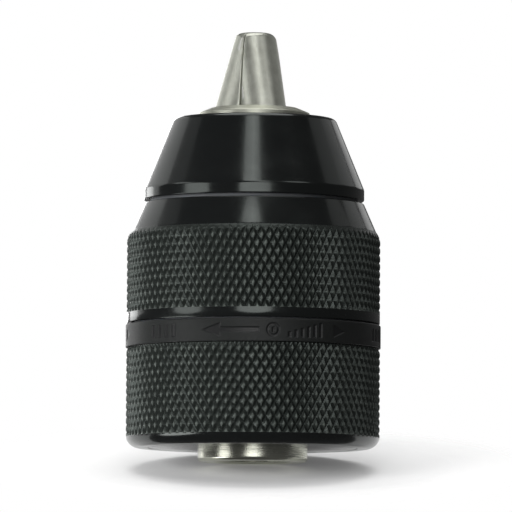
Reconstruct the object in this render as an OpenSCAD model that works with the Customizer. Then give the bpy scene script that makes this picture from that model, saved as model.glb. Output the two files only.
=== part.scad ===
// Keyless three-jaw drill chuck with two sleeves, in millimetres.
// The axis is +Z, towards the jaws, and z = 0 is the face of the boss that a spindle shoulders against.

/* [Body] */
// Radius of the boss that shows behind the rear sleeve
boss_r = 9.3; // [9.1:0.1:9.4]
// Height of the boss that shows behind the rear sleeve
boss_h = 2.35; // [2:0.05:2.6]
// Radius of the spindle thread, 1/2-20 UNF
thread_r = 6.35; // [6.2:0.05:6.5]
// Depth of the spindle thread
thread_h = 16.5; // [14:0.5:17]
// Radius of the hole for the retaining screw
screw_r = 3.3; // [3.1:0.1:3.5]
// Radius of the cavity that the tool shank enters
cavity_r = 6.7; // [6.6:0.05:6.8]
// Radius of the steel collar at the nose
collar_r = 9.4; // [9.3:0.05:9.45]
// Height of the collar's rim above the boss face
rim_z = 60.1; // [59.8:0.1:60.4]

/* [Jaws] */
// Lean of each jaw from the chuck's axis, in degrees
jaw_lean = 15.5; // [15.4:0.05:15.6]
// Radius of the bar that each jaw is ground from
jaw_r = 4.15; // [4.1:0.01:4.18]
// Height at which the jaws' centre lines cross the chuck's axis, jaws closed
cross_z = 68.5; // [68.3:0.1:68.7]
// Height of the jaw tips above the boss face, jaws closed
tip_z = 72.9; // [72:0.1:74]
// Largest shank that the jaws hold
capacity = 13; // [12:0.5:13]
// Turns of the jaws' thread in an inch
turns_per_inch = 16; // [15:0.5:17]

/* [Sleeves] */
// Radius over the knurls
grip_r = 21.5; // [21.4:0.05:21.6]
// Height at which the marking band starts
band_z = 19.3; // [19:0.1:19.6]
// Height at which the rear sleeve ends
rear_top_z = 23.2; // [23.1:0.05:23.25]
// Gap between the two sleeves
sleeve_gap = 0.25; // [0.2:0.05:0.3]
// Height at which the front sleeve ends
front_top_z = 43.85; // [43.7:0.05:43.9]
// Turn of the front sleeve on the nut that sets the lock, in degrees
lock_turn = 14; // [12:1:14]

/* [Nose] */
// Height at which the nose cover starts
nose_z = 44.35; // [44.3:0.05:44.4]
// Radius of the nose cover's lip
lip_r = 18.7; // [18.6:0.05:18.8]
// Height of the nose cover's front face
nose_top_z = 58.3; // [58.2:0.05:58.4]

/* [Bearing] */
// Number of balls
ball_count = 32; // [28:1:34]
// Radius of a ball
ball_r = 0.78; // [0.75:0.01:0.79]
// Number of ratchet teeth on the rear race
tooth_count = 72; // [60:6:72]

/* [Hidden] */
$fn = 96;

steel = "#a9a9a4";
dark_steel = "#77787a";
black_gloss = "#1c1d20";
black_matte = "#36383b";
nylon = "#4a4c50";
spring_steel = "#8d8f92";
cut = 0.5;                     // how far a cutter runs past the face it opens
far = 60;                      // longer than anything that it cuts

// Jaws. A jaw's azimuth and its centre line, which crosses the axis at cross_z.
jaw_azimuths = [60, 180, 300];
axial_pitch = 25.4 / turns_per_inch * cos(jaw_lean);
tail_drop = capacity / 2 / tan(jaw_lean);      // how far the open jaws stand behind the closed ones
jaw_tail_z = 32.5;             // centre of a jaw's rear face, jaws closed
jaw_gap = 0.05;                // from a jaw's flat to the plane between two jaws
jaw_clear = 0.07;              // between a jaw and its passage
tail_r_limit = 19.9;           // reach of an open jaw's tail
tip_flat_r = 2.05;             // the tip's flat end
tip_fillet = 1.7;
tooth_top_z = 59.6;            // the highest groove that the nut uses, jaws closed
function centre_r(z) = (cross_z - z) * tan(jaw_lean);
function back_r(z) = centre_r(z) + jaw_r / cos(jaw_lean);

// Body, from the back to the nose
hub_z = 6.2;
tail_r = 16;
flange_z = 21.3;
flange_r = 18.9;
race_z = 24.5;
neck_r = 11.6;
shoulder_z = 37.1;
barrel_r = 14.4;
barrel_top_z = 50.5;
cone_top_z = 56.5;
cone_top_r = 10.5;
web_top_z = 20;                // seat of the retaining screw's head
rim_r = 7.3;
rim_chamfer = 0.9;
boss_chamfer = 0.6;

// Bearing
race_in_r = 16.75;
race_out_r = 18.5;
race_h = 1.2;
ball_ring_r = 17.5;
ball_seat = 0.8;               // half the space between the races
ball_z = race_z + race_h + ball_seat;
front_race_z = ball_z + ball_seat;
front_race_h = 1.0;
front_race_in_r = 16.2;
front_race_out_r = 18.4;
cage_h = 0.9;
cage_in_r = 16.6;
cage_out_r = 18.6;
ball_clear = 0.08;             // around a ball in the cage

// Nut
nut_clear = 0.15;              // between the front race and the nut
nut_z = front_race_z + front_race_h + nut_clear;
nut_top_z = 36.9;
nut_r = 17.18;
nut_split = 0.5;               // degrees from a half's end to the plane between the halves
nut_steps = 32;                // flats around a half's bore
ridge_low_z = 29.2;
ridge_turns = 4;
ridge_root_w = 0.75;
ridge_crest_w = 0.35;
ridge_clear = 0.15;
ridge_h = 0.85;                // how far the crest reaches inside a jaw's back
groove_h = 1.0;
groove_floor_w = 0.65;
groove_mouth_w = 1.4;
groove_mouth_h = 1.5;

// Nut band, lock spring and the sleeve around them
nut_band_r = 18.2;
nut_band_z = 28.7;
nut_band_top_z = 36.5;
lug_r = 19.15;
lug_w = 14;                    // degrees
lug_z = 31.5;
lug_top_z = 36;
lug_azimuths = [90, 270];
notch_r = 17.9;                // floor of the notch for the lock spring's tab
notch_w = 8.6;                 // degrees
spring_in_r = 18.75;
spring_out_r = 19.1;
spring_z = 28.65;
spring_top_z = 30.4;
pocket_r = 19.3;
skirt_r = 19.4;                // inside of the front sleeve, around the lock spring
skirt_top_z = 30.8;
inner_r = 18.5;                // inside of the front sleeve, around the nut band
wall_z = 41.2;                 // inside of the front sleeve's front wall
wall_hole_r = 14.5;

// Sleeves and covers
front_z = rear_top_z + sleeve_gap;
smooth_top_z = 25.6;
smooth_drop = 0.05;
smooth_r = grip_r - smooth_drop;
mouth_r = 20.2;                // inside of the front sleeve, around the dust ring
mouth_top_z = 25;
sleeve_lean = 23.7;            // of the front sleeve's cone, in degrees
cone_head_r = 18.65;
bend_r = 4;                    // of the rounded shoulder at the cone's foot
dust_in_r = 19.5;
dust_z = 20.5;
dust_top_z = 24.8;
shell_r = 20.1;                // inside of the rear sleeve
floor_z = 5.6;
cover_r = 17.6;
cover_top_z = 3.4;
cover_clear = 0.05;
band_seat_r = 20.9;
band_r = 21.6;
corner_r = 2.2;
washer_in_r = 15.4;
washer_out_r = 17.6;
washer_h = 1.0;
snap_z = 48.7;
snap_ring_r = 14.2;
snap_wire_r = 0.5;
snap_w = snap_wire_r + 0.05;   // half the width of the snap ring's grooves

// Points of an arc around [x, z], from angle a0 to a1.
function arc(x, z, r, a0, a1) = [
    for (k = [0 : 8])
        let (a = a0 + (a1 - a0) * k / 8) [x + r * cos(a), z + r * sin(a)]
];

// A ring between two radii, from z0 to z1.
module ring(r_in, r_out, z0, z1) {
    translate([0, 0, z0])
        difference() {
            cylinder(r = r_out, h = z1 - z0);
            translate([0, 0, -cut]) cylinder(r = r_in, h = z1 - z0 + 2 * cut);
        }
}

// A piece of a ring, w degrees wide and centred on azimuth a.
module ring_piece(r_in, r_out, z0, z1, a, w) {
    rotate([0, 0, a - w / 2])
        rotate_extrude(angle = w)
            translate([r_in, z0]) square([r_out - r_in, z1 - z0]);
}

// A cylinder along a jaw's centre line, between two heights of its end centres.
module jaw_bar(r, z0, z1) {
    translate([0, 0, cross_z])
        rotate([0, -jaw_lean, 0])
            translate([0, 0, (z0 - cross_z) / cos(jaw_lean)])
                cylinder(r = r, h = (z1 - z0) / cos(jaw_lean));
}

// Body -------------------------------------------------------------------------------------------

module body_blank() {
    groove_r = snap_ring_r - snap_w;
    rotate_extrude()
        polygon([
            [thread_r, 0], [boss_r - boss_chamfer, 0], [boss_r, boss_chamfer], [boss_r, hub_z],
            [tail_r, hub_z], [tail_r, flange_z], [flange_r, flange_z], [flange_r, race_z],
            [neck_r, race_z], [neck_r, shoulder_z], [barrel_r, shoulder_z],
            [barrel_r, snap_z - snap_w], [groove_r, snap_z - snap_w],
            [groove_r, snap_z + snap_w], [barrel_r, snap_z + snap_w],
            [barrel_r, barrel_top_z], [cone_top_r, cone_top_z], [collar_r, cone_top_z],
            [collar_r, rim_z - rim_chamfer], [rim_r, rim_z], [cavity_r, rim_z],
            [cavity_r, web_top_z], [screw_r, web_top_z], [screw_r, thread_h],
            [thread_r, thread_h]
        ]);
}

module body() {
    tail_room = 0.4;           // between an open jaw's tail and its passage's end
    passage_z = jaw_tail_z - tail_drop - tail_room;
    color(steel)
        difference() {
            body_blank();
            for (a = jaw_azimuths)
                rotate([0, 0, a])
                    jaw_bar(jaw_r + jaw_clear, passage_z, tip_z);
        }
}

// Jaws -------------------------------------------------------------------------------------------

// One jaw, drawn at azimuth 0. The grooves lie where the nut's ridge passes azimuth a.
module jaw_blank() {
    flat_turn = 60;
    intersection() {
        jaw_bar(jaw_r, jaw_tail_z, tip_z + jaw_r);
        // the two flats that face the other jaws
        rotate([0, 0, -flat_turn])
            translate([-far, jaw_gap, 0]) cube([2 * far, far, 2 * far]);
        rotate([0, 0, flat_turn])
            translate([-far, -far - jaw_gap, 0]) cube([2 * far, far, 2 * far]);
        // the rounded tip
        rotate_extrude()
            polygon(concat(
                [[0, 0], [far / 2, 0], [far / 2, tip_z - tip_fillet]],
                arc(tip_flat_r, tip_z - tip_fillet, tip_fillet, 0, 90),
                [[0, tip_z]]
            ));
        // the bevel at the tail, which lets the open jaw pass inside the rear sleeve
        translate([-capacity / 2, 0, 0]) cylinder(r = tail_r_limit, h = 2 * far);
    }
}

module jaw_grooves(a) {
    tail_reach = 2;            // how far a jaw's tail reaches behind its centre
    first = ceil((jaw_tail_z - tail_reach - ridge_low_z) / axial_pitch - a / 360);
    last = floor((tooth_top_z - ridge_low_z) / axial_pitch - a / 360);
    for (i = [first : last]) {
        z = ridge_low_z + axial_pitch * (i + a / 360);
        floor_r = back_r(z) - groove_h;
        translate([0, 0, z])
            rotate_extrude()
                polygon([
                    [floor_r, -groove_floor_w / 2], [floor_r, groove_floor_w / 2],
                    [floor_r + groove_h + groove_mouth_h, groove_mouth_w / 2],
                    [floor_r + groove_h + groove_mouth_h, -groove_mouth_w / 2]
                ]);
    }
}

module jaw(a) {
    color(steel)
        rotate([0, 0, a])
            difference() {
                jaw_blank();
                jaw_grooves(a);
            }
}

// Bearing ----------------------------------------------------------------------------------------

module rear_race() {
    tooth_w = 360 / tooth_count;
    tooth_deep = 0.35;
    tooth_mouth = 0.75 * race_out_r * tooth_w * PI / 180;
    color(dark_steel)
        difference() {
            ring(race_in_r, race_out_r, race_z, race_z + race_h);
            for (i = [0 : tooth_count - 1])
                rotate([0, 0, i * tooth_w])
                    translate([0, 0, race_z - cut])
                        linear_extrude(race_h + 2 * cut)
                            polygon([
                                [race_out_r - tooth_deep, 0], [race_out_r + cut, 0],
                                [race_out_r + cut, tooth_mouth]
                            ]);
        }
}

module bearing_balls() {
    color(steel)
        for (i = [0 : ball_count - 1])
            rotate([0, 0, (i + 0.5) * 360 / ball_count])
                translate([ball_ring_r, 0, ball_z]) sphere(r = ball_r, $fn = 24);
}

module ball_cage() {
    color("#b08d4a")
        difference() {
            ring(cage_in_r, cage_out_r, ball_z - cage_h / 2, ball_z + cage_h / 2);
            for (i = [0 : ball_count - 1])
                rotate([0, 0, (i + 0.5) * 360 / ball_count])
                    translate([ball_ring_r, 0, ball_z - cage_h])
                        cylinder(r = ball_r + ball_clear, h = 2 * cage_h, $fn = 24);
        }
}

module front_race() {
    color(dark_steel)
        ring(front_race_in_r, front_race_out_r, front_race_z, front_race_z + front_race_h);
}

// Nut --------------------------------------------------------------------------------------------

// The nut's outline at azimuth a, as [radius, height] points: up the outside and down the threaded bore.
// Each point on the bore has one level with it on the outside.
function bore_r(z) = back_r(z) + ridge_clear;
function tooth_outline(z) = [
    [bore_r(z + ridge_root_w / 2), z + ridge_root_w / 2],
    [back_r(z) - ridge_h, z + ridge_crest_w / 2],
    [back_r(z) - ridge_h, z - ridge_crest_w / 2],
    [bore_r(z - ridge_root_w / 2), z - ridge_root_w / 2]
];
function bore_outline(a) = [
    [bore_r(nut_top_z), nut_top_z],
    for (k = [ridge_turns - 1 : -1 : 0])
        each tooth_outline(ridge_low_z + axial_pitch * (k + a / 360)),
    [bore_r(nut_z), nut_z]
];
function nut_outline(a) =
    let (bore = bore_outline(a))
    concat([for (k = [len(bore) - 1 : -1 : 0]) [nut_r, bore[k][1]]], bore);

// The nut is a threaded ring in two halves, split so that it closes around the body's neck.
module nut_half(side) {
    first_a = 180 * side + nut_split;
    step_a = (180 - 2 * nut_split) / nut_steps;
    n = len(nut_outline(0));
    last = n * nut_steps;
    color(dark_steel)
        polyhedron(
            points = [for (i = [0 : nut_steps])
                let (a = first_a + i * step_a)
                for (p = nut_outline(a)) [p[0] * cos(a), p[0] * sin(a), p[1]]],
            faces = concat(
                [for (k = [0 : n / 2 - 2]) [n - 1 - k, n - 2 - k, k + 1, k]],
                [for (k = [0 : n / 2 - 2])
                    [last + k, last + k + 1, last + n - 2 - k, last + n - 1 - k]],
                [for (i = [0 : nut_steps - 1], k = [0 : n - 1], half = [0, 1])
                    let (p = n * i + k, q = n * i + (k + 1) % n)
                    half == 0 ? [p, q, q + n] : [p, q + n, p + n]]
            )
        );
}

module nut_band() {
    color(dark_steel)
        difference() {
            union() {
                ring(nut_r, nut_band_r, nut_band_z, nut_band_top_z);
                for (a = lug_azimuths)
                    ring_piece(nut_band_r - cut, lug_r, lug_z, lug_top_z, a, lug_w);
            }
            // notch that holds the lock spring's tab
            ring_piece(notch_r, nut_band_r + cut, nut_band_z - cut, spring_top_z - 0.1, 0, notch_w);
        }
}

module lock_spring() {
    open_w = 90;
    tab_w = 8;
    lap = 0.1;                 // how far the tab, finger and pawl run into the strip
    finger_a = 120;
    finger_w = 5;
    finger_z = race_z + 0.2;
    pawl_w = 3;
    pawl_h = 0.8;
    color(spring_steel) {
        // the strip, open over a quarter turn
        ring_piece(spring_in_r, spring_out_r, spring_z, spring_top_z, 0, 360 - open_w);
        // the tab in the nut band's notch
        ring_piece(notch_r + 0.05, spring_in_r + lap, spring_z + 0.3, spring_top_z - 0.2, 0, tab_w);
        // the finger and its pawl, over the rear race's teeth
        ring_piece(spring_in_r, spring_out_r, finger_z, spring_z + lap, finger_a, finger_w);
        ring_piece(race_out_r + 0.1, spring_in_r + lap, finger_z, finger_z + pawl_h,
                   finger_a + (finger_w - pawl_w) / 2, pawl_w);
    }
}

// Sleeves ----------------------------------------------------------------------------------------

module front_sleeve_shell() {
    recess_clear = 0.1;
    washer_z = nose_z - washer_h - recess_clear;
    recess_in_r = washer_in_r - recess_clear;
    recess_out_r = washer_out_r + recess_clear;
    corner_z = front_top_z - (grip_r - cone_head_r) / tan(sleeve_lean);
    rotate_extrude()
        polygon(concat(
            [[mouth_r, front_z], [smooth_r, front_z], [smooth_r, smooth_top_z],
             [grip_r, smooth_top_z]],
            // the rounded shoulder, which runs into the cone
            arc(grip_r - bend_r, corner_z - bend_r * tan(sleeve_lean / 2), bend_r, 0, sleeve_lean),
            // the recess of the slip washer, and the front wall's hole
            [[cone_head_r, front_top_z], [recess_out_r, front_top_z], [recess_out_r, washer_z],
             [recess_in_r, washer_z], [recess_in_r, front_top_z], [wall_hole_r, front_top_z],
             [wall_hole_r, wall_z]],
            // the inside, wider around the lock spring and again around the dust ring
            [[inner_r, wall_z], [inner_r, skirt_top_z], [skirt_r, skirt_top_z],
             [skirt_r, mouth_top_z], [mouth_r, mouth_top_z]]
        ));
}

module front_sleeve() {
    pocket_clear = 0.5;        // degrees past a lug at each end of its turn
    pocket_rise = 0.6;
    pocket_w = lug_w + lock_turn + 2 * pocket_clear;
    color(black_gloss)
        difference() {
            front_sleeve_shell();
            for (a = lug_azimuths)
                ring_piece(inner_r - cut, pocket_r, skirt_top_z - cut, lug_top_z + pocket_rise,
                           a + lock_turn / 2, pocket_w);
        }
}

module rear_sleeve_shell() {
    corner_z = boss_h + corner_r;
    rotate_extrude()
        polygon(concat(
            [[cover_r + cover_clear, boss_h]],
            arc(grip_r - corner_r, corner_z, corner_r, -90, 0),
            [[grip_r, band_z], [band_seat_r, band_z], [band_seat_r, rear_top_z],
             [shell_r, rear_top_z], [shell_r, floor_z], [boss_r, floor_z],
             [boss_r, cover_top_z], [cover_r + cover_clear, cover_top_z]]
        ));
}

module rear_sleeve() {
    rib_w = 2;
    rib_top_z = 20;
    lap = 0.4;                 // how far a rib runs into the shell
    color(black_gloss) {
        rear_sleeve_shell();
        // ribs that centre the sleeve on the body, clear of the open jaws' tails
        for (a = jaw_azimuths, b = [40, 60, 80])
            rotate([0, 0, a + b])
                difference() {
                    translate([tail_r - cut, -rib_w / 2, floor_z - lap])
                        cube([shell_r + lap - tail_r + cut, rib_w, rib_top_z - floor_z + lap]);
                    cylinder(r = tail_r, h = far);
                }
    }
}

module rear_cover() {
    color(black_gloss)
        ring(boss_r, cover_r, boss_h, cover_top_z);
}

// The band on the rear sleeve, with plain turn marks cut into it.
module marking_band() {
    mark_deep = 0.2;
    edge = 0.3;
    arrow_h = 1.8;
    arrow_w = 3.2;
    bar_w = 0.6;
    bar_h = (rear_top_z - band_z) / 2;
    mid_z = (band_z + rear_top_z) / 2;
    color(black_matte)
        difference() {
            rotate_extrude()
                polygon([
                    [band_seat_r, band_z], [band_r, band_z], [band_r, rear_top_z - edge],
                    [band_r - edge, rear_top_z], [band_seat_r, rear_top_z]
                ]);
            for (a = jaw_azimuths)
                rotate([0, 0, a])
                    translate([band_r - mark_deep, 0, mid_z])
                        rotate([0, 90, 0])
                            linear_extrude(mark_deep + cut)
                                polygon([
                                    [-arrow_h / 2, -arrow_w / 2], [arrow_h / 2, -arrow_w / 2],
                                    [0, arrow_w / 2]
                                ]);
            for (a = jaw_azimuths, b = [10, 14, 18, 22])
                rotate([0, 0, a + b])
                    translate([band_r - mark_deep, -bar_w / 2, mid_z - bar_h / 2])
                        cube([mark_deep + cut, bar_w, bar_h]);
        }
}

module dust_ring() {
    color(nylon)
        ring(dust_in_r, shell_r, dust_z, dust_top_z);
}

// Nose -------------------------------------------------------------------------------------------

module nose_cover() {
    lip_top_z = 46.2;
    lip_in_r = 16.2;
    edge_r = 13.75;            // where the cone would meet the front face
    fillet = 1.1;
    cone_lean = atan((lip_r - edge_r) / (nose_top_z - lip_top_z));
    hole_r = collar_r + 0.15;
    wall = 1.5;
    seat_r = barrel_r + 0.35;  // of the snap ring's groove
    step = 0.2;                // the cover's inside widens by this much above its bore
    bore_top_z = 51;
    color(black_gloss)
        rotate_extrude()
            polygon(concat(
                [[lip_in_r, nose_z], [lip_r, nose_z], [lip_r, lip_top_z]],
                arc(edge_r + fillet * (tan(cone_lean) - 1 / cos(cone_lean)), nose_top_z - fillet,
                    fillet, cone_lean, 90),
                [[hole_r, nose_top_z], [hole_r, nose_top_z - wall], [edge_r - wall, nose_top_z - wall],
                 [barrel_r + step, bore_top_z + 2.5 * step], [barrel_r, bore_top_z],
                 [barrel_r, snap_z + snap_w], [seat_r, snap_z + snap_w],
                 [seat_r, snap_z - snap_w], [barrel_r, snap_z - snap_w],
                 [barrel_r, lip_top_z + step], [lip_in_r, lip_top_z + step]]
            ));
}

module nose_snap_ring() {
    gap = 20;
    color(spring_steel)
        rotate([0, 0, gap / 2])
            rotate_extrude(angle = 360 - gap)
                translate([snap_ring_r, snap_z]) circle(r = snap_wire_r, $fn = 24);
}

module slip_washer() {
    color(nylon)
        ring(washer_in_r, washer_out_r, nose_z - washer_h, nose_z);
}

body();
rear_sleeve();
rear_cover();
marking_band();
dust_ring();
nose_cover();
nose_snap_ring();
slip_washer();
rear_race();
bearing_balls();
ball_cage();
front_race();
nut_half(0);  // nut_half_1
nut_half(1);  // nut_half_2
nut_band();
lock_spring();
front_sleeve();
jaw(jaw_azimuths[0]);  // jaw_1
jaw(jaw_azimuths[1]);  // jaw_2
jaw(jaw_azimuths[2]);  // jaw_3
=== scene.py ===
"""Looks of a keyless drill chuck around its CAD frame: pieces in mm, floor and lights in metres."""
import math

import bmesh
import bpy
import numpy as np
from mathutils import Matrix, Vector


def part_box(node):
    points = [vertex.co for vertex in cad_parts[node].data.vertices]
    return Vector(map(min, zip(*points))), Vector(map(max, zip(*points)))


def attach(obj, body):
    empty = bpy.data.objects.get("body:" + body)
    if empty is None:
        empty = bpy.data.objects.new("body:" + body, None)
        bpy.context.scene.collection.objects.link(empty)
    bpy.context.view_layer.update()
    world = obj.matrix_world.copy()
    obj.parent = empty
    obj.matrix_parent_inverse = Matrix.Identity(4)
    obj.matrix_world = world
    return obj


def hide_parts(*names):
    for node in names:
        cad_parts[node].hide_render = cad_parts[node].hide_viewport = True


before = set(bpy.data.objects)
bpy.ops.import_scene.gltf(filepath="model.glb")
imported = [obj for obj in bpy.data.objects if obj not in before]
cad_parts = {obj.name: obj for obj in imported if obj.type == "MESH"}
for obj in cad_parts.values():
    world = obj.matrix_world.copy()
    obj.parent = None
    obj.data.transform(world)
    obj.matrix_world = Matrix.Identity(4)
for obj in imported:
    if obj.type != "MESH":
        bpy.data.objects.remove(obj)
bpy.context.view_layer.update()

MM = 0.001
JAW_AZIMUTHS = {"jaw_1": 60, "jaw_2": 180, "jaw_3": 300}
JAW_BODIES = {"jaw_1": "first_jaw", "jaw_2": "second_jaw", "jaw_3": "third_jaw"}


# Sizes that the CAD nodes give ------------------------------------------------------------------

def span(node):
    """Lowest z, highest z and outer radius of a CAD node, in millimetres."""
    low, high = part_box(node)
    return low[2] / MM, high[2] / MM, high[0] / MM


RIM_Z = span("body")[1]
REAR_Z0, REAR_Z1, GRIP_R = span("rear_sleeve")
COVER_Z0, COVER_Z1, COVER_R = span("rear_cover")
BAND_Z0, BAND_Z1, BAND_R = span("marking_band")
FRONT_Z0, FRONT_Z1, _ = span("front_sleeve")
NOSE_Z0, NOSE_Z1, LIP_R = span("nose_cover")
TIP_Z = span("jaw_1")[1]


# Mesh helpers -----------------------------------------------------------------------------------

def rounded(points, steps=5):
    """A closed outline from (radius, height, fillet) corners, each fillet drawn as an arc."""
    out = []
    n = len(points)
    for i, (x, z, fillet) in enumerate(points):
        here = np.array([x, z])
        if not fillet:
            out.append((x, z))
            continue
        back = np.array(points[i - 1][:2]) - here
        ahead = np.array(points[(i + 1) % n][:2]) - here
        back /= np.linalg.norm(back)
        ahead /= np.linalg.norm(ahead)
        half = math.acos(np.clip(back @ ahead, -1, 1)) / 2
        reach = fillet / math.tan(half)
        middle = back + ahead
        centre = here + middle / np.linalg.norm(middle) * fillet / math.sin(half)
        start = here + back * reach - centre
        end = here + ahead * reach - centre
        turn = math.pi - 2 * half
        side = 1 if start[0] * end[1] - start[1] * end[0] > 0 else -1
        for k in range(steps + 1):
            a = side * turn * k / steps
            c, s = math.cos(a), math.sin(a)
            out.append((centre[0] + c * start[0] - s * start[1], centre[1] + s * start[0] + c * start[1]))
    return out


def add_object(name, points, faces, materials, face_slots=None, sharp=35, weighted=True):
    """A mesh object in metres from points in millimetres, with outward normals and smooth shading."""
    mesh = bpy.data.meshes.new(name)
    mesh.from_pydata((np.asarray(points) * MM).tolist(), [], faces)
    for m in materials:
        mesh.materials.append(m)
    if face_slots is not None:
        mesh.polygons.foreach_set("material_index", np.asarray(face_slots, dtype=np.int32))
    mesh.polygons.foreach_set("use_smooth", [True] * len(mesh.polygons))
    mesh.set_sharp_from_angle(angle=math.radians(sharp))
    mesh.update()
    obj = bpy.data.objects.new(name, mesh)
    bpy.context.scene.collection.objects.link(obj)
    if weighted:
        add_weighted(obj)
    return obj


def add_weighted(obj):
    modifier = obj.modifiers.new("weighted", "WEIGHTED_NORMAL")
    modifier.keep_sharp = True


def ring_surface(name, radii, heights, materials, row_slots=None, crease=None, sharp=35, weighted=True):
    """A closed ring: one row of points around the axis for each point of its outline.

    radii holds a row of radii per outline point and heights one height per row. crease(i, j) says which
    way the quads of a row are split, or is None where they stay quads.
    """
    rows, columns = radii.shape
    angles = 2 * math.pi * np.arange(columns) / columns
    points = np.stack([radii * np.cos(angles), radii * np.sin(angles),
                       np.repeat(heights[:, None], columns, axis=1)], axis=2).reshape(-1, 3)
    faces, slots = [], []
    for i in range(rows):
        k = (i + 1) % rows
        slot = row_slots[i] if row_slots is not None else 0
        for j in range(columns):
            m = (j + 1) % columns
            a, b, c, d = i * columns + j, i * columns + m, k * columns + m, k * columns + j
            way = crease(i, j) if crease else None
            if way is None:
                faces.append((a, b, c, d))
                slots.append(slot)
            elif way:
                faces += [(a, b, c), (a, c, d)]
                slots += [slot] * 2
            else:
                faces += [(a, b, d), (b, c, d)]
                slots += [slot] * 2
    return add_object(name, points, faces, materials, slots, sharp, weighted)


def lathe(name, outline, columns, materials):
    """A closed ring from an outline of (radius, height) points, counter-clockwise with r to the right."""
    outline = np.array(outline)
    radii = np.repeat(outline[:, :1], columns, axis=1)
    return ring_surface(name, radii, outline[:, 1], materials)


def joined_rings(rings, count, start=0):
    """Quads that join each ring of count points to the next one."""
    faces = []
    for i in range(rings - 1):
        a, b = start + i * count, start + (i + 1) * count
        for k in range(count):
            m = (k + 1) % count
            faces.append([a + k, a + m, b + m, b + k])
    return faces


def turned(x, y, z, angle):
    """A point turned about the chuck's axis."""
    c, s = math.cos(angle), math.sin(angle)
    return x * c - y * s, x * s + y * c, z


def ride(obj, body, slot, *nodes):
    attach(obj, body)
    if nodes:
        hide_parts(*nodes)
    return obj


# Materials --------------------------------------------------------------------------------------

class Nodes:
    """A material's node tree, with short ways to add and join nodes."""

    def __init__(self, name):
        self.material = bpy.data.materials.new(name)
        self.material.use_nodes = True
        self.tree = self.material.node_tree
        self.shader = self.tree.nodes["Principled BSDF"]
        self.place = self.tree.nodes.new("ShaderNodeTexCoord").outputs["Object"]

    def set(self, **values):
        for name, value in values.items():
            self.shader.inputs[name.replace("_", " ")].default_value = value

    def link(self, source, target):
        self.tree.links.new(source, target)

    def stretched(self, x, y, z):
        """Object coordinates scaled by these factors, in 1/metre."""
        node = self.tree.nodes.new("ShaderNodeVectorMath")
        node.operation = "MULTIPLY"
        node.inputs[1].default_value = (x, y, z)
        self.link(self.place, node.inputs[0])
        return node.outputs[0]

    def noise(self, vector, scale=1.0, detail=4.0, rough=0.55):
        node = self.tree.nodes.new("ShaderNodeTexNoise")
        node.inputs["Scale"].default_value = scale
        node.inputs["Detail"].default_value = detail
        node.inputs["Roughness"].default_value = rough
        self.link(vector, node.inputs["Vector"])
        return node.outputs["Fac"]

    def ramp(self, value, low, high, to_low=0.0, to_high=1.0):
        node = self.tree.nodes.new("ShaderNodeMapRange")
        node.inputs["From Min"].default_value = low
        node.inputs["From Max"].default_value = high
        node.inputs["To Min"].default_value = to_low
        node.inputs["To Max"].default_value = to_high
        self.link(value, node.inputs["Value"])
        return node.outputs["Result"]

    def math(self, operation, a, b):
        node = self.tree.nodes.new("ShaderNodeMath")
        node.operation = operation
        for socket, value in zip(node.inputs, (a, b)):
            if isinstance(value, (int, float)):
                socket.default_value = value
            else:
                self.link(value, socket)
        return node.outputs[0]

    def mix(self, factor, first, second):
        node = self.tree.nodes.new("ShaderNodeMix")
        node.data_type = "RGBA"
        self.link(factor, node.inputs["Factor"])
        for socket, value in (("A", first), ("B", second)):
            inputs = [s for s in node.inputs if s.name == socket and s.type == "RGBA"]
            if isinstance(value, tuple):
                inputs[0].default_value = (*value, 1)
            else:
                self.link(value, inputs[0])
        return [s for s in node.outputs if s.type == "RGBA"][0]

    def bump(self, height, distance, strength=1.0):
        node = self.tree.nodes.new("ShaderNodeBump")
        node.inputs["Distance"].default_value = distance
        node.inputs["Strength"].default_value = strength
        self.link(height, node.inputs["Height"])
        self.link(node.outputs["Normal"], self.shader.inputs["Normal"])

    def length(self, x, y, z):
        """Length of the object coordinates, each scaled by its factor."""
        node = self.tree.nodes.new("ShaderNodeVectorMath")
        node.operation = "LENGTH"
        self.link(self.stretched(x, y, z), node.inputs[0])
        return node.outputs["Value"]

    def radius(self):
        """Distance from the chuck's axis, in metres."""
        return self.length(1, 1, 0)

    def height(self):
        """Height above the boss's end face, in metres."""
        return self.length(0, 0, 1)

    def pointiness(self):
        return self.tree.nodes.new("ShaderNodeNewGeometry").outputs["Pointiness"]

    def colour(self, output):
        self.link(output, self.shader.inputs["Base Color"])

    def roughness(self, output):
        self.link(output, self.shader.inputs["Roughness"])


def gloss_black(name):
    """Polished black plastic: faint orange peel, soft smears in the gloss and a few specks of dust."""
    n = Nodes(name)
    n.set(IOR=1.5, Specular_Tint=(0.9, 1, 0.94, 1), Coat_Weight=0.2, Coat_Roughness=0.08)
    smears = n.noise(n.stretched(1, 1, 1.6), scale=140, detail=5)
    fine = n.noise(n.place, scale=2600, detail=2)
    n.roughness(n.math("ADD", n.ramp(smears, 0.35, 0.7, 0.14, 0.24), n.ramp(fine, 0.3, 0.7, -0.015, 0.015)))
    dust = n.tree.nodes.new("ShaderNodeTexVoronoi")
    dust.inputs["Scale"].default_value = 420
    n.link(n.place, dust.inputs["Vector"])
    speck = n.ramp(dust.outputs["Distance"], 0.045, 0.03)
    rare = n.ramp(n.noise(n.place, scale=90, detail=1), 0.62, 0.66)
    tint = n.mix(n.math("MULTIPLY", speck, rare), (0.0035, 0.0038, 0.004), (0.12, 0.12, 0.115))
    n.colour(tint)
    n.bump(n.noise(n.place, scale=900, detail=3), 0.00001, 0.25)
    return n.material


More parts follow.
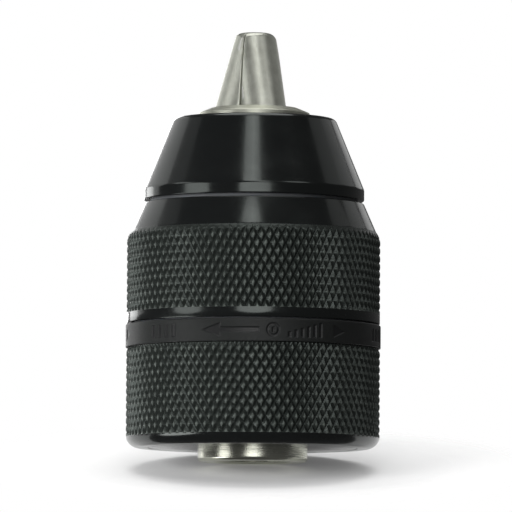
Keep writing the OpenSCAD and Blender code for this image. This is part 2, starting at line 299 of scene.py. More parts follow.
def knurl_black(name, crest, depth):
    """The same plastic where it is knurled: duller, and lighter grey along the crests, partly from rubbing
    and partly as a painted highlight on the diamonds' tops.
    """
    n = Nodes(name)
    n.set(IOR=1.5, Specular_Tint=(0.88, 1, 0.94, 1))
    height = n.ramp(n.radius(), (crest - depth) * MM, crest * MM)
    crests = n.ramp(height, 0.62, 1.0)
    patches = n.ramp(n.noise(n.place, scale=240, detail=4), 0.35, 0.7, 0.35, 1)
    # lighter grey on the crests: partly rubbed wear, partly a painted highlight standing in for light on the
    # tops of the diamonds
    crest_wear_and_highlight = n.math("MULTIPLY", crests, patches)
    n.colour(n.mix(crest_wear_and_highlight, (0.010, 0.0116, 0.0106), (0.075, 0.085, 0.077)))
    n.roughness(n.ramp(n.noise(n.place, scale=1300, detail=3), 0.3, 0.7, 0.24, 0.36))
    n.bump(n.noise(n.place, scale=5200, detail=3), 0.000012, 0.5)
    return n.material


def matte_band(name):
    """Matte charcoal moulding with a fine spark-eroded grain."""
    n = Nodes(name)
    n.set(IOR=1.46)
    cloud = n.noise(n.place, scale=160, detail=5)
    grain = n.noise(n.place, scale=6500, detail=3)
    cut = n.ramp(n.radius(), (BAND_R - 0.1) * MM, (BAND_R - 0.02) * MM)
    face = n.mix(n.ramp(cloud, 0.3, 0.7), (0.0042, 0.005, 0.0047), (0.0064, 0.0074, 0.007))
    n.colour(n.mix(cut, (0.006, 0.0063, 0.0065), face))
    n.roughness(n.math("ADD", n.ramp(grain, 0.3, 0.7, 0.42, 0.6), n.ramp(cut, 0, 1, -0.12, 0)))
    n.bump(grain, 0.00002, 0.6)
    return n.material


def turned_steel(name, base, dark, rough):
    """Turned steel: fine rings from the tool, a light film of oil, and a duller finish at the nose."""
    n = Nodes(name)
    n.set(Metallic=1.0)
    rings = n.noise(n.stretched(30, 30, 9000), scale=1, detail=3)
    film = n.noise(n.place, scale=170, detail=5)
    n.colour(n.mix(n.ramp(film, 0.3, 0.72), dark, base))
    dull = n.math("ADD", n.ramp(film, 0.3, 0.7, -0.04, 0.05), n.ramp(n.height(), 0.02, 0.05, 0, 0.2))
    n.roughness(n.math("ADD", n.ramp(rings, 0.3, 0.7, rough - 0.06, rough + 0.08), dull))
    n.bump(rings, 0.00003, 0.5)
    return n.material


def ground_steel(name, base, dark, rough):
    """Ground steel: satin, with fine scratches along the part and a faint mottle from handling."""
    n = Nodes(name)
    n.set(Metallic=1.0)
    grain = n.noise(n.stretched(5200, 5200, 260), scale=1, detail=3)
    mottle = n.noise(n.place, scale=420, detail=6, rough=0.65)
    edge = n.ramp(n.pointiness(), 0.53, 0.6)
    n.colour(n.mix(edge, n.mix(n.ramp(mottle, 0.3, 0.7), dark, base), (0.78, 0.78, 0.74)))
    n.roughness(n.math("ADD", n.ramp(grain, 0.3, 0.7, rough - 0.07, rough + 0.09),
                       n.ramp(mottle, 0.3, 0.7, -0.03, 0.04)))
    n.bump(grain, 0.000012, 0.45)
    return n.material


def oiled_metal(name, base, rough):
    """Plain metal under a film of oil, for the inner pieces."""
    n = Nodes(name)
    n.set(Metallic=1.0)
    mottle = n.noise(n.place, scale=700, detail=5)
    n.colour(n.mix(n.ramp(mottle, 0.3, 0.7), tuple(0.78 * c for c in base), base))
    n.roughness(n.ramp(mottle, 0.3, 0.7, rough - 0.06, rough + 0.08))
    n.bump(n.noise(n.place, scale=4200, detail=3), 0.00001, 0.3)
    return n.material


def nylon(name):
    """Dark moulded nylon."""
    n = Nodes(name)
    n.set(IOR=1.53, Subsurface_Weight=0.05)
    cloud = n.noise(n.place, scale=260, detail=4)
    n.colour(n.mix(n.ramp(cloud, 0.3, 0.7), (0.055, 0.058, 0.062), (0.085, 0.089, 0.095)))
    n.roughness(n.ramp(cloud, 0.3, 0.7, 0.45, 0.58))
    n.bump(n.noise(n.place, scale=3200, detail=2), 0.00001, 0.4)
    return n.material


# Knurl ------------------------------------------------------------------------------------------

STEPS = 8                         # points across one diamond of a knurl, each way
TOP_CUT, VALLEY_ROUND = 1.18, 0.05   # how far a diamond's top is cut flat, and how round its valleys are


class Knurl:
    """A diamond knurl: starts diamonds around, each tall high, between two heights."""

    def __init__(self, starts, tall, low, high, crest, depth):
        self.starts, self.tall, self.crest, self.depth = starts, tall, crest, depth
        self.rows = int((high - low) / tall * STEPS) + 1
        self.heights = low + tall / STEPS * np.arange(self.rows)

    def radii(self, columns, limit):
        """A row of radii per height, cut down to limit(height)."""
        j, i = np.meshgrid(np.arange(columns), np.arange(self.rows))
        rise = np.minimum(self.away((i + j) / STEPS), self.away((i - j) / STEPS))
        rise = np.clip(TOP_CUT * rise - VALLEY_ROUND * np.sin(2 * math.pi * rise), 0, 1)
        radii = self.crest - self.depth * (1 - rise)
        return np.minimum(radii, np.array([limit(z) for z in self.heights])[:, None])

    @staticmethod
    def away(phase):
        """0 on a groove and 1 halfway between two."""
        return 1 - np.abs(2 * (phase % 1) - 1)

    def crease(self, i, j):
        """True where the quad is split from its first corner, along the groove that shapes it."""
        return bool(self.away((i - j) / STEPS) <= self.away((i + j + 1) / STEPS))


def knurled_ring(name, knurl, before, after, limit, columns, materials, shape=None):
    """A closed ring whose outline is before, then the knurl's rows, then after."""
    before, after = np.array(before), np.array(after)
    heights = np.concatenate([before[:, 1], knurl.heights, after[:, 1]])
    radii = np.concatenate([
        np.repeat(before[:, :1], columns, axis=1), knurl.radii(columns, limit),
        np.repeat(after[:, :1], columns, axis=1)])
    first, last = len(before), len(before) + knurl.rows
    if shape is not None:
        radii = shape(radii, heights, last)
    slots = [1 if first - 1 <= i < last else 0 for i in range(len(heights))]
    return ring_surface(
        name, radii, heights, materials, slots,
        lambda i, j: knurl.crease(i - first, j) if first <= i < last - 1 else None,
        sharp=40, weighted=False)


# Pieces -----------------------------------------------------------------------------------------

BOSS_R = 9.3
SEAT_R = 16                       # the body inside the rear sleeve
NOSE_R = 14.4                     # the body inside the nose cover
SNAP_Z0, SNAP_Z1 = 48.15, 49.25   # the snap ring's groove
SMOOTH_R = 21.45                  # the front sleeve's plain ring beside the marking band
STEP_Z = 25.6                     # top of that ring
SHOULDER_Z, SHOULDER_H, SHOULDER_DROP = 37.0, 1.9, 0.62
GRIP_IN_R = 18.5                  # inside of the front sleeve, around the nut band
POCKET_R, POCKET_Z0, POCKET_Z1 = 19.3, 30.8, 36.6
POCKET_AHEAD, POCKET_HALF = 7, 14.5   # degrees from a lug to its pocket's middle, and half the pocket
CORNER_R = 2.2                    # the rear sleeve's rounded bottom corner
WEB_Z0, WEB_Z1 = 3.4, 5.6         # the rear sleeve's web, around the boss
COVER_SEAT_R = 17.65
SLEEVE_IN_R = 20.1                # inside of the rear sleeve
KNURL_DEEP = 0.45
FRONT_CREST_R = GRIP_R - 0.02
FRONT_KNURL = Knurl(96, 2.66, 25.2, 38.95, FRONT_CREST_R, KNURL_DEEP)
REAR_KNURL = Knurl(90, 2.54, 4.3, 19.15, GRIP_R, KNURL_DEEP)


def front_limit(z):
    """The turned shape that the front knurl is cut into: a step at the band and a rounded shoulder."""
    if z < STEP_Z:
        return SMOOTH_R
    return GRIP_R - SHOULDER_DROP * (max(0, z - SHOULDER_Z) / SHOULDER_H) ** 2


def rear_limit(z):
    """The rear knurl dies out in the rounded bottom corner."""
    below = max(0, REAR_Z0 + CORNER_R - z)
    return GRIP_R - CORNER_R + math.sqrt(max(0, CORNER_R ** 2 - below ** 2))


def lug_pockets(radii, heights, last):
    """Sinks the two pockets for the nut's lugs into the front sleeve's inside."""
    columns = radii.shape[1]
    degrees = (np.arange(columns) + 0.01) * 360 / columns
    inside = np.zeros(columns, bool)
    for lug in (90, 270):
        inside |= np.abs(degrees - lug - POCKET_AHEAD) < POCKET_HALF
    for i in range(last, len(heights)):
        if POCKET_Z0 <= heights[i] < POCKET_Z1 - 0.005 and abs(radii[i, 0] - GRIP_IN_R) < 0.01:
            radii[i, inside] = POCKET_R
    return radii


def make_front_grip(gloss, knurled):
    before = [(20.3, FRONT_Z0), (SMOOTH_R - 0.1, FRONT_Z0), (SMOOTH_R - 0.03, FRONT_Z0 + 0.03),
              (SMOOTH_R, FRONT_Z0 + 0.1), (SMOOTH_R, 24.5), (SMOOTH_R, 25.1)]
    crown = [(20.75, 39.05, 0), (20.62, 39.35, 0.1), (18.65, FRONT_Z1, 0.3), (17.7, FRONT_Z1, 0.08),
             (17.7, 43.25, 0), (15.3, 43.25, 0), (15.3, FRONT_Z1, 0.08), (14.5, FRONT_Z1, 0.1),
             (14.5, 41.2, 0.1), (GRIP_IN_R, 41.2, 0)]
    inside = [(GRIP_IN_R, POCKET_Z1, 0), (GRIP_IN_R, POCKET_Z1 - 0.01, 0), (GRIP_IN_R, POCKET_Z0 + 0.01, 0),
              (GRIP_IN_R, POCKET_Z0, 0), (19.4, POCKET_Z0, 0), (19.4, 25.0, 0), (20.2, 25.0, 0),
              (20.2, 23.7, 0)]
    ring = knurled_ring("front_grip", FRONT_KNURL, before, rounded(crown + inside), front_limit,
                        FRONT_KNURL.starts * STEPS, [gloss, knurled], lug_pockets)
    return ride(ring, "grip", "gloss_black", "front_sleeve")


def make_rear_grip(gloss, knurled):
    corner = [(GRIP_R - CORNER_R + CORNER_R * math.sin(a), REAR_Z0 + CORNER_R - CORNER_R * math.cos(a))
              for a in np.radians(np.linspace(0, 80, 12))]
    before = [(COVER_SEAT_R, REAR_Z0 + 0.25), (COVER_SEAT_R + 0.2, REAR_Z0)] + corner
    after = rounded([
        (21.2, 19.22, 0), (20.9, 19.3, 0), (20.9, REAR_Z1, 0.1), (SLEEVE_IN_R, REAR_Z1, 0.1),
        (SLEEVE_IN_R, WEB_Z1, 0.5), (BOSS_R, WEB_Z1, 0), (BOSS_R, WEB_Z0, 0), (COVER_SEAT_R, WEB_Z0, 0)])
    ring = knurled_ring("rear_grip", REAR_KNURL, before, after, rear_limit,
                        REAR_KNURL.starts * STEPS, [gloss, knurled])
    return ride(ring, "housing", "gloss_black", "rear_sleeve")


def make_rear_ribs(gloss):
    """Ribs inside the rear sleeve that centre it on the body, with chamfers at their tops."""
    outer = SLEEVE_IN_R + 0.05
    points, faces = [], []
    for azimuth in JAW_AZIMUTHS.values():
        for ahead in (40, 60, 80):
            turn = math.radians(azimuth + ahead)
            start = len(points)
            for z, inner in ((WEB_Z1 - 0.05, SEAT_R), (19.7, SEAT_R), (20.0, SEAT_R + 0.3)):
                corners = ((inner, -1), (outer, -1), (outer, 1), (inner, 1))
                points += [turned(r, y, z, turn) for r, y in corners]
            faces += [[start + k for k in (3, 2, 1, 0)], [start + k for k in (8, 9, 10, 11)]]
            faces += joined_rings(3, 4, start)
    return ride(add_object("rear_ribs", points, faces, [gloss]), "housing", "gloss_black")


def make_rear_cover(gloss):
    hole_r = BOSS_R + 0.03
    outline = rounded([(hole_r, COVER_Z0, 0.08), (COVER_R, COVER_Z0, 0.25), (COVER_R, COVER_Z1, 0),
                       (hole_r, COVER_Z1, 0)])
    return ride(lathe("rear_disc", outline, 256, [gloss]), "housing", "gloss_black", "rear_cover")


def make_nose(gloss):
    outline = rounded([
        (16.2, NOSE_Z0, 0.1), (LIP_R, NOSE_Z0, 0.22), (LIP_R, 46.2, 1.2), (13.75, NOSE_Z1, 1.1),
        (9.55, NOSE_Z1, 0.15), (9.55, 56.8, 0), (12.3, 56.8, 0.3), (14.6, 51.5, 0), (NOSE_R, 51.0, 0),
        (NOSE_R, SNAP_Z1, 0), (14.75, SNAP_Z1, 0), (14.75, SNAP_Z0, 0), (NOSE_R, SNAP_Z0, 0),
        (NOSE_R, 46.4, 0.1), (16.2, 46.4, 0)], steps=8)
    return ride(lathe("nose_cone", outline, 320, [gloss]), "housing", "gloss_black", "nose_cover")


# Marks on the band: plain shapes, each a signed distance in millimetres along and across the band.

MARK_DEEP = 0.14
MARK_EDGE = 0.12                  # how far a mark's side leans


def bar(t, w, at, across, half_wide, half_tall):
    return np.maximum(np.abs(t - at) - half_wide, np.abs(w - across) - half_tall)


def pointer(t, w, at, half_tall, length):
    """A triangle whose base is at the given place and that points along length's sign."""
    side = math.copysign(1, length)
    along = (t - at) * side
    slope = abs(length) / half_tall
    return np.maximum(-along, (along + slope * np.abs(w) - abs(length)) / math.hypot(1, slope))


def hoop(t, w, at, radius, half_wide):
    return np.abs(np.hypot(t - at, w) - radius) - half_wide


def mark_depth(t, w):
    """How deep the marks are cut at arc length t and height w from the middle of the band."""
    arrow = [pointer(t, w, -5.6, 1.15, -3.2), bar(t, w, -2.4, 0, 3.4, 0.42)]
    ring = [hoop(t, w, 3.4, 0.95, 0.2), bar(t, w, 3.4, 0, 0.18, 0.42)]
    rising = [bar(t, w, 6.2 + 1.15 * k, -0.15 * (5 - k), 0.24, 1.2 - 0.15 * (5 - k)) for k in range(6)]
    even = [bar(t, w, -14.4 - 1.6 * k, 0, 0.36, 1.05) for k in range(4)]
    nearest = np.minimum.reduce(arrow + ring + rising + [pointer(t, w, 14.6, 1.0, 2.4)] + even)
    return MARK_DEEP * np.clip(0.5 - nearest / MARK_EDGE, 0, 1)


def make_band(matte):
    columns, inner = 1440, 20.9
    low, high = BAND_Z0, BAND_Z1
    middle = (low + high) / 2
    edge = rounded([(inner, low, 0), (BAND_R, low, 0.12), (BAND_R, high, 0.22), (inner, high, 0)])
    lower = [p for p in edge if p[1] < middle]
    upper = [p for p in edge if p[1] > middle]
    levels = np.linspace(low + 0.3, high - 0.5, 40)
    heights = np.array([p[1] for p in lower] + list(levels) + [p[1] for p in upper])
    radii = np.repeat(np.array([p[0] for p in lower] + [BAND_R] * len(levels)
                               + [p[0] for p in upper])[:, None], columns, axis=1)
    # three sets of marks, the first of them facing -Y
    degrees = np.arange(columns) * 360 / columns
    local = (degrees - 270 + 60) % 120 - 60
    t, w = np.meshgrid(np.radians(local) * BAND_R, levels - middle)
    radii[len(lower):len(lower) + len(levels)] -= mark_depth(t, w)
    ring = ring_surface("marked_band", radii, heights, [matte], sharp=60, weighted=False)
    return ride(ring, "housing", "matte_black", "marking_band")


# Body -------------------------------------------------------------------------------------------

BORE_R, BORE_DEEP = 6.35, 16.5    # the spindle's bore
SCREW_HOLE_R = 3.3
CAVITY_R, CAVITY_Z = 6.7, 20      # the cavity behind the jaws, and its floor
BOSS_H = 6.2
FLANGE_R, FLANGE_Z0, FLANGE_Z1 = 18.9, 21.3, 24.5
NECK_R, NECK_Z1 = 11.6, 37.1      # the neck that the nut turns on
COLLAR_R, COLLAR_Z0 = 9.4, 56.5
LEAN = math.radians(15.5)         # of the jaws
CROSS_Z = 68.5                    # where their centre lines meet the chuck's axis
JAW_R = 4.15
PASSAGE_GAP = 0.07                # between a jaw and its passage
AXIAL_PITCH = 1.5875 * math.cos(LEAN)
RIDGE_Z = 29.2                    # height of the nut's lowest ridge at azimuth 0
GROOVE_H = 1.0
GROOVE_FLOOR, GROOVE_MOUTH = 0.33, 0.55   # half widths of a jaw's groove
TAIL_Z = 32.5                     # where a jaw's centre line leaves its slanted lower end
LOW_Z0, LOW_Z1 = 31.5, 33.8       # between these heights a jaw's slices are cut by that end
GROOVED_Z0, GROOVED_Z1 = 32.4, 59.6   # and between these it has grooves
JAW_GAP = 0.05                    # from a jaw's flats to the planes between the jaws
TIP_ROUND, TIP_FLAT_R = 1.7, 2.05
OPEN_R = 6.5                      # how far out an open jaw moves
JAW_LIMIT_R = 19.9                # how far out it may then reach, inside the rear sleeve
FAR = 99.0                        # the reach of a slice that has no limit


def centre_r(z):
    return (CROSS_Z - z) * math.tan(LEAN)


def back_r(z):
    return centre_r(z) + JAW_R / math.cos(LEAN)


def cut_with(obj, cutter):
    """Cuts the closed mesh cutter out of obj and removes it."""
    modifier = obj.modifiers.new("cut", "BOOLEAN")
    modifier.operation = "DIFFERENCE"
    modifier.solver = "MANIFOLD"
    modifier.object = cutter
    bpy.context.view_layer.update()
    cut = bpy.data.meshes.new_from_object(obj.evaluated_get(bpy.context.evaluated_depsgraph_get()))
    obj.modifiers.clear()
    obj.data = cut
    bpy.data.objects.remove(cutter)


def passage_cutter(azimuth):
    """A round bar along a jaw's centre line, a little wider than the jaw."""
    sides, low, high = 96, 8.66, 76
    radius = JAW_R + PASSAGE_GAP
    turn = Matrix.Rotation(math.radians(azimuth), 3, "Z") @ Matrix.Rotation(-LEAN, 3, "Y")
    points = []
    for z in (low, high):
        for k in range(sides):
            a = 2 * math.pi * k / sides
            p = Vector((radius * math.cos(a), radius * math.sin(a), (z - CROSS_Z) / math.cos(LEAN)))
            points.append(tuple(turn @ p + Vector((0, 0, CROSS_Z))))
    faces = [list(reversed(range(sides))), list(range(sides, 2 * sides))] + joined_rings(2, sides)
    return add_object("cutter", points, faces, [], weighted=False)


def make_body(steel):
    outline = rounded([
        (BORE_R, 0, 0.4), (BOSS_R, 0, 0.62), (BOSS_R, BOSS_H, 0), (SEAT_R, BOSS_H, 0.5),
        (SEAT_R, FLANGE_Z0, 0), (FLANGE_R, FLANGE_Z0, 0.3), (FLANGE_R, FLANGE_Z1, 0.1),
        (NECK_R, FLANGE_Z1, 0.4), (NECK_R, NECK_Z1, 0.4), (NOSE_R, NECK_Z1, 0.2), (NOSE_R, SNAP_Z0, 0),
        (13.65, SNAP_Z0, 0), (13.65, SNAP_Z1, 0), (NOSE_R, SNAP_Z1, 0), (NOSE_R, 50.5, 0.3),
        (10.5, COLLAR_Z0, 0.2), (COLLAR_R, COLLAR_Z0, 0), (COLLAR_R, 59.25, 0.25), (7.3, RIM_Z, 0.12),
        (CAVITY_R, RIM_Z, 0.12), (CAVITY_R, CAVITY_Z, 0.2), (SCREW_HOLE_R, CAVITY_Z, 0.15),
        (SCREW_HOLE_R, BORE_DEEP, 0.15), (BORE_R, BORE_DEEP, 0.3)], steps=6)
    body = lathe("chuck_body", outline, 256, [steel])
    for azimuth in JAW_AZIMUTHS.values():
        cut_with(body, passage_cutter(azimuth))
    # the cuts leave a few faces without area
    mesh = bmesh.new()
    mesh.from_mesh(body.data)
    bmesh.ops.dissolve_degenerate(mesh, dist=0.0000005, edges=mesh.edges)
    mesh.to_mesh(body.data)
    mesh.free()
    body.data.set_sharp_from_angle(angle=math.radians(32))
    add_weighted(body)
    return ride(body, "housing", "body_steel", "body")


def make_thread(steel):
    """The spindle thread's ridge inside the bore, tapered at both ends."""
    pitch, turns, around, start_z = 25.4 / 20, 12, 72, 0.75
    ridge_h, half_foot, half_top = 0.58, 0.52, 0.1
    steps = turns * around
    points = []
    for k in range(steps + 1):
        a = 2 * math.pi * k / around
        fade = min(1, k / around * 2, (steps - k) / around * 2)
        z = start_z + pitch * k / around
        root, crest = BORE_R + 0.03, BORE_R + 0.01 - ridge_h * fade
        for r, dz in ((root, -half_foot), (crest, -half_top), (crest, half_top), (root, half_foot)):
            points.append((r * math.cos(a), r * math.sin(a), z + dz * (0.25 + 0.75 * fade)))
    faces = [[3, 2, 1, 0], [4 * steps + m for m in range(4)]] + joined_rings(steps + 1, 4)
    return ride(add_object("spindle_thread_ridge", points, faces, [steel]), "housing", "body_steel")


# Jaws -------------------------------------------------------------------------------------------

def soft_max(a, b, radius):
    """The larger of two distances, with the edge between their surfaces rounded to radius."""
    corner = np.hypot(np.maximum(a + radius, 0), np.maximum(b + radius, 0)) - radius
    return np.where((a > -radius) & (b > -radius), corner, np.maximum(a, b))


def jaw_distance(x, y, z, reach):
    """Roughly the distance from a jaw at azimuth 0 to a point, in millimetres; below 0 inside it."""
    down = (z - CROSS_Z) * math.cos(LEAN) - x * math.sin(LEAN)
    across = x * math.cos(LEAN) + (z - CROSS_Z) * math.sin(LEAN)
    side = np.hypot(across, y) - JAW_R
    tail = (TAIL_Z - CROSS_Z) / math.cos(LEAN) - down
    half = math.radians(60)
    flats = JAW_GAP - (math.sin(half) * x - math.cos(half) * np.abs(y))
    solid = soft_max(soft_max(side, flats, 0.22), tail, 0.3)
    solid = np.maximum(solid, np.hypot(x, y) - reach)
    return np.maximum(solid, np.hypot(x + OPEN_R, y) - JAW_LIMIT_R)


def jaw_levels(azimuth):
    """Heights of a jaw's slices, and how far out each may reach: the grooves and the rounded tip."""
    first = math.ceil((GROOVED_Z0 - RIDGE_Z) / AXIAL_PITCH - azimuth / 360)
    last = math.floor((GROOVED_Z1 - RIDGE_Z) / AXIAL_PITCH - azimuth / 360)
    levels = {z: FAR for z in np.linspace(LOW_Z0, LOW_Z1 - 0.1, 14)}
    for i in range(first, last + 1):
        middle = RIDGE_Z + AXIAL_PITCH * (i + azimuth / 360)
        floor_r = back_r(middle) - GROOVE_H
        for z in levels:
            gap = abs(z - middle)
            if gap < GROOVE_MOUTH:
                levels[z] = floor_r + GROOVE_H * max(0, (gap - GROOVE_FLOOR) / (GROOVE_MOUTH - GROOVE_FLOOR))
        levels.update({middle - GROOVE_MOUTH: FAR, middle - GROOVE_FLOOR: floor_r,
                       middle + GROOVE_FLOOR: floor_r, middle + GROOVE_MOUTH: FAR})
    levels.update({z: FAR for z in np.linspace(GROOVED_Z1 + 1, TIP_Z - TIP_ROUND - 0.05, 26)})
    for a in np.radians(np.linspace(0, 90, 14)):
        levels[TIP_Z - TIP_ROUND + TIP_ROUND * math.sin(a)] = TIP_FLAT_R + TIP_ROUND * math.cos(a)
    return sorted(levels.items())


def jaw_angles():
    """Directions of a slice's points from its middle, closer together at the corners."""
    even = np.linspace(0, 360, 96, endpoint=False)
    corners = [c + d for c in (84, 276, 98, 262, 112, 248) for d in np.linspace(-5, 5, 9)]
    return np.radians(np.unique(np.round(np.concatenate([even, corners]) % 360, 3)))


def slice_middle(z, reach):
    """The x of a point inside a slice, from which the slice's outline is searched outwards."""
    inner = centre_r(z) - JAW_R / math.cos(LEAN)
    if z < LOW_Z1:
        tail_x = ((z - CROSS_Z) * math.cos(LEAN) - (TAIL_Z - CROSS_Z) / math.cos(LEAN)) / math.sin(LEAN)
        return (inner + min(tail_x, back_r(z))) / 2
    return (max(inner, 0.06) + min(back_r(z), reach)) / 2


def jaw_slice(z, reach, angles):
    """The points of a slice's outline, found by halving the way from its middle."""
    middle = slice_middle(z, reach)
    near, far = np.zeros(len(angles)), np.full(len(angles), 12.0)
    for _ in range(44):
        half = (near + far) / 2
        inside = jaw_distance(middle + half * np.cos(angles), half * np.sin(angles), z, reach) < 0
        near, far = np.where(inside, half, near), np.where(inside, far, half)
    return [(middle + r * math.cos(a), r * math.sin(a), z) for r, a in zip(near, angles)]


def make_jaw(node, steel):
    azimuth = JAW_AZIMUTHS[node]
    levels = jaw_levels(azimuth)
    angles = jaw_angles()
    points = []
    for z, reach in levels:
        points += jaw_slice(z, reach, angles)
    count, ends = len(angles), len(points)
    top = ends - count
    points += [(slice_middle(z, reach), 0, z) for z, reach in (levels[0], levels[-1])]
    faces = joined_rings(len(levels), count)
    for k in range(count):
        m = (k + 1) % count
        faces += [[ends, m, k], [ends + 1, top + k, top + m]]
    points = [turned(x, y, z, math.radians(azimuth)) for x, y, z in points]
    jaw = add_object(node + "_ground", points, faces, [steel], sharp=38)
    return ride(jaw, JAW_BODIES[node], "jaw_steel", node)


# Scene ------------------------------------------------------------------------------------------

def keep_cad(materials):
    """Gives each CAD node that stays its material and smooth shading."""
    for node, material in materials.items():
        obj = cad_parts[node]
        obj.data.materials.clear()
        obj.data.materials.append(material)
        obj.data.polygons.foreach_set("use_smooth", [True] * len(obj.data.polygons))
        obj.data.set_sharp_from_angle(angle=math.radians(30))


def make_object():
    gloss = gloss_black("gloss_black")
    steel = turned_steel("body_steel", (0.66, 0.67, 0.58), (0.5, 0.505, 0.43), 0.21)
    jaw_steel = ground_steel("jaw_steel", (0.66, 0.675, 0.6), (0.5, 0.51, 0.445), 0.4)
    bearing = oiled_metal("bearing_steel", (0.55, 0.55, 0.55), 0.22)
    nut_steel = oiled_metal("nut_steel", (0.3, 0.3, 0.31), 0.38)
    spring = oiled_metal("spring_steel", (0.42, 0.43, 0.46), 0.3)
    dark_nylon = nylon("nylon")
    make_front_grip(gloss, knurl_black("front_knurl_black", FRONT_CREST_R, KNURL_DEEP))
    make_rear_grip(gloss, knurl_black("rear_knurl_black", GRIP_R, KNURL_DEEP))
    make_rear_ribs(gloss)
    make_rear_cover(gloss)
    make_nose(gloss)
    make_band(matte_band("matte_black"))
    make_body(steel)
    make_thread(steel)
    for node in JAW_AZIMUTHS:
        make_jaw(node, jaw_steel)
    keep_cad({
        "dust_ring": dark_nylon, "slip_washer": dark_nylon, "nose_snap_ring": spring,
        "lock_spring": spring, "rear_race": bearing, "front_race": bearing, "bearing_balls": bearing,
        "ball_cage": oiled_metal("brass", (0.62, 0.45, 0.17), 0.3),
        "nut_half_1": nut_steel, "nut_half_2": nut_steel, "nut_band": nut_steel})


def make_camera():
    """A long lens, from a little below the chuck's middle."""
    distance, elevation, roll = 1350, math.radians(-4.0), math.radians(0.33)
    frame_wide, sensor = 86.8, 36
    target = Vector((0.4, 0, 35.0))
    data = bpy.data.cameras.new("camera")
    data.sensor_width = sensor
    data.lens = sensor * distance / frame_wide
    data.clip_start, data.clip_end = 0.05, 20
    camera = bpy.data.objects.new("camera", data)
    bpy.context.scene.collection.objects.link(camera)
    back = Vector((0, -math.cos(elevation), math.sin(elevation)))
    camera.location = (target + back * distance) * MM
    camera.rotation_euler = (
        back.to_track_quat("Z", "Y").to_matrix() @ Matrix.Rotation(roll, 3, "Z")).to_euler()
    bpy.context.scene.camera = camera


LIGHTS_AIM_Z, LIGHTS_AWAY = 0.04, 1.3   # height that the lights are aimed at, and distance from there


def area_light(name, azimuth, elevation, wide, tall, power, glossy=True):
    """An oval softbox aimed at the chuck's middle. Azimuth 0 is over the camera and 90 to its right."""
    data = bpy.data.lights.new(name, "AREA")
    data.shape = "ELLIPSE"
    data.size, data.size_y = wide, tall
    data.energy = power
    light = bpy.data.objects.new(name, data)
    a, e = math.radians(azimuth), math.radians(elevation)
    back = Vector((math.sin(a) * math.cos(e), -math.cos(a) * math.cos(e), math.sin(e)))
    light.location = Vector((0, 0, LIGHTS_AIM_Z)) + back * LIGHTS_AWAY
    light.rotation_euler = back.to_track_quat("Z", "Y").to_euler()
    light.visible_camera = False
    light.visible_glossy = glossy
    bpy.context.scene.collection.objects.link(light)


def floor_paper():
    n = Nodes("floor_paper")
    n.set(Base_Color=(0.9, 0.9, 0.9, 1), Roughness=0.9)
    n.set(Emission_Color=(1, 1, 1, 1), Emission_Strength=0.1)
    n.bump(n.noise(n.place, scale=900, detail=3), 0.00002, 0.2)
    clear = n.tree.nodes.new("ShaderNodeBsdfTransparent")
    mixed = n.tree.nodes.new("ShaderNodeMixShader")
    below = n.tree.nodes.new("ShaderNodeNewGeometry").outputs["Backfacing"]
    faded = n.ramp(n.radius(), 0.034, 0.05)
    n.link(n.math("MAXIMUM", below, faded), mixed.inputs[0])
    n.link(n.shader.outputs[0], mixed.inputs[1])
    n.link(clear.outputs[0], mixed.inputs[2])
    n.link(mixed.outputs[0], n.tree.nodes["Material Output"].inputs["Surface"])
    return n.material


def make_floor():
    """A round pale sheet that tips slightly towards the camera, seen only from above, and that fades out.

    It has two parts, and the gloss doesn't mirror the front one.
    """
    tilt, reach, sides = math.radians(10.5), 0.06, 64
    middle_y, seam_y, drop = 0.008, -0.014, 0.0015
    seam = math.asin(seam_y / reach)
    parts = {"floor_back": (seam, math.pi - seam), "floor_front": (math.pi - seam, 2 * math.pi + seam)}
    paper = floor_paper()
    for name, (first, last) in parts.items():
        angles = [first + (last - first) * k / sides for k in range(sides + 1)]
        points = [(reach * math.cos(a), reach * math.sin(a), reach * math.sin(a) * math.tan(tilt))
                  for a in angles]
        mesh = bpy.data.meshes.new(name)
        mesh.from_pydata(points, [], [range(len(points))])
        mesh.materials.append(paper)
        part = bpy.data.objects.new(name, mesh)
        part.location = (0, middle_y, middle_y * math.tan(tilt) - drop)
        part.visible_glossy = name == "floor_back"
        bpy.context.scene.collection.objects.link(part)


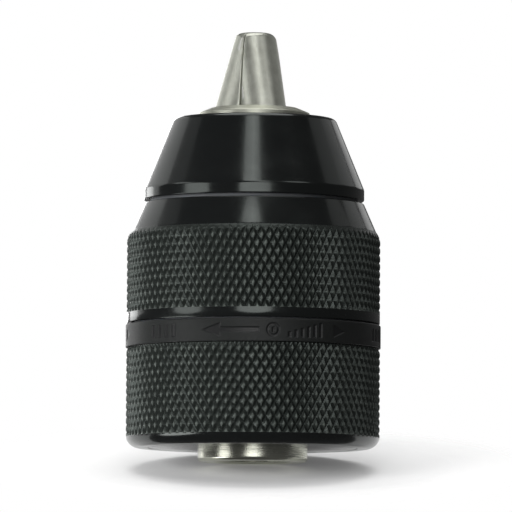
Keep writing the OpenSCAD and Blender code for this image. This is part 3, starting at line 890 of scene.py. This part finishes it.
def make_world():
    """White behind the object, and a dimmer surround for what it reflects."""
    world = bpy.data.worlds.new("studio")
    bpy.context.scene.world = world
    world.use_nodes = True
    tree = world.node_tree
    background = tree.nodes["Background"]
    background.inputs["Color"].default_value = (1, 1, 1, 1)
    background.inputs["Strength"].default_value = 0.08
    seen = tree.nodes.new("ShaderNodeBackground")
    seen.inputs["Color"].default_value = (1, 1, 1, 1)
    seen.inputs["Strength"].default_value = 1.0
    rays = tree.nodes.new("ShaderNodeLightPath")
    mix = tree.nodes.new("ShaderNodeMixShader")
    tree.links.new(rays.outputs["Is Camera Ray"], mix.inputs[0])
    tree.links.new(background.outputs[0], mix.inputs[1])
    tree.links.new(seen.outputs[0], mix.inputs[2])
    tree.links.new(mix.outputs[0], tree.nodes["World Output"].inputs["Surface"])


def make_lights():
    # these two light the matte surfaces and the floor, and the gloss doesn't mirror them
    area_light("sky", 180, 88, 3.0, 3.0, 10, glossy=False)
    area_light("fill", -44, 3, 0.8, 0.8, 20, glossy=False)
    # the others are mainly seen as reflections, each in its own stretch of the sleeves or the nose
    area_light("overhead", 180, 86, 1.3, 1.3, 8.5)
    area_light("right_mid", 104, 31, 0.5, 0.5, 0.16)
    area_light("right_high", 128, 24, 0.6, 0.4, 0.2)
    area_light("right_far", 152, 14, 0.6, 0.3, 0.3)
    area_light("left_key", -62, 5, 0.66, 0.6, 2.3)
    area_light("left_upper", -84, 24, 0.56, 0.34, 0.75)
    area_light("left_mid", -102, 30, 0.6, 0.5, 0.15)
    area_light("left_back", -135, 18, 1.1, 0.9, 1.8)
    area_light("left_back_low", -141, 2, 0.5, 0.4, 1.1)
    area_light("back_left", -168, 8, 0.4, 0.6, 2.6)
    area_light("front", 1, 5, 0.74, 0.6, 3.0)
    area_light("jaw_band", 10, 34, 0.34, 0.3, 0.8)
    area_light("right_soft", 48, 31, 0.6, 0.36, 0.85)
    area_light("streak", -1, 48, 0.05, 0.45, 0.06)
    area_light("streak_soft", -3, 48, 0.34, 0.5, 1.15)
    area_light("low_left", -76, -25, 0.9, 0.4, 4)


make_object()
make_camera()
make_floor()
make_world()
make_lights()
bpy.context.scene.view_settings.view_transform = "Standard"
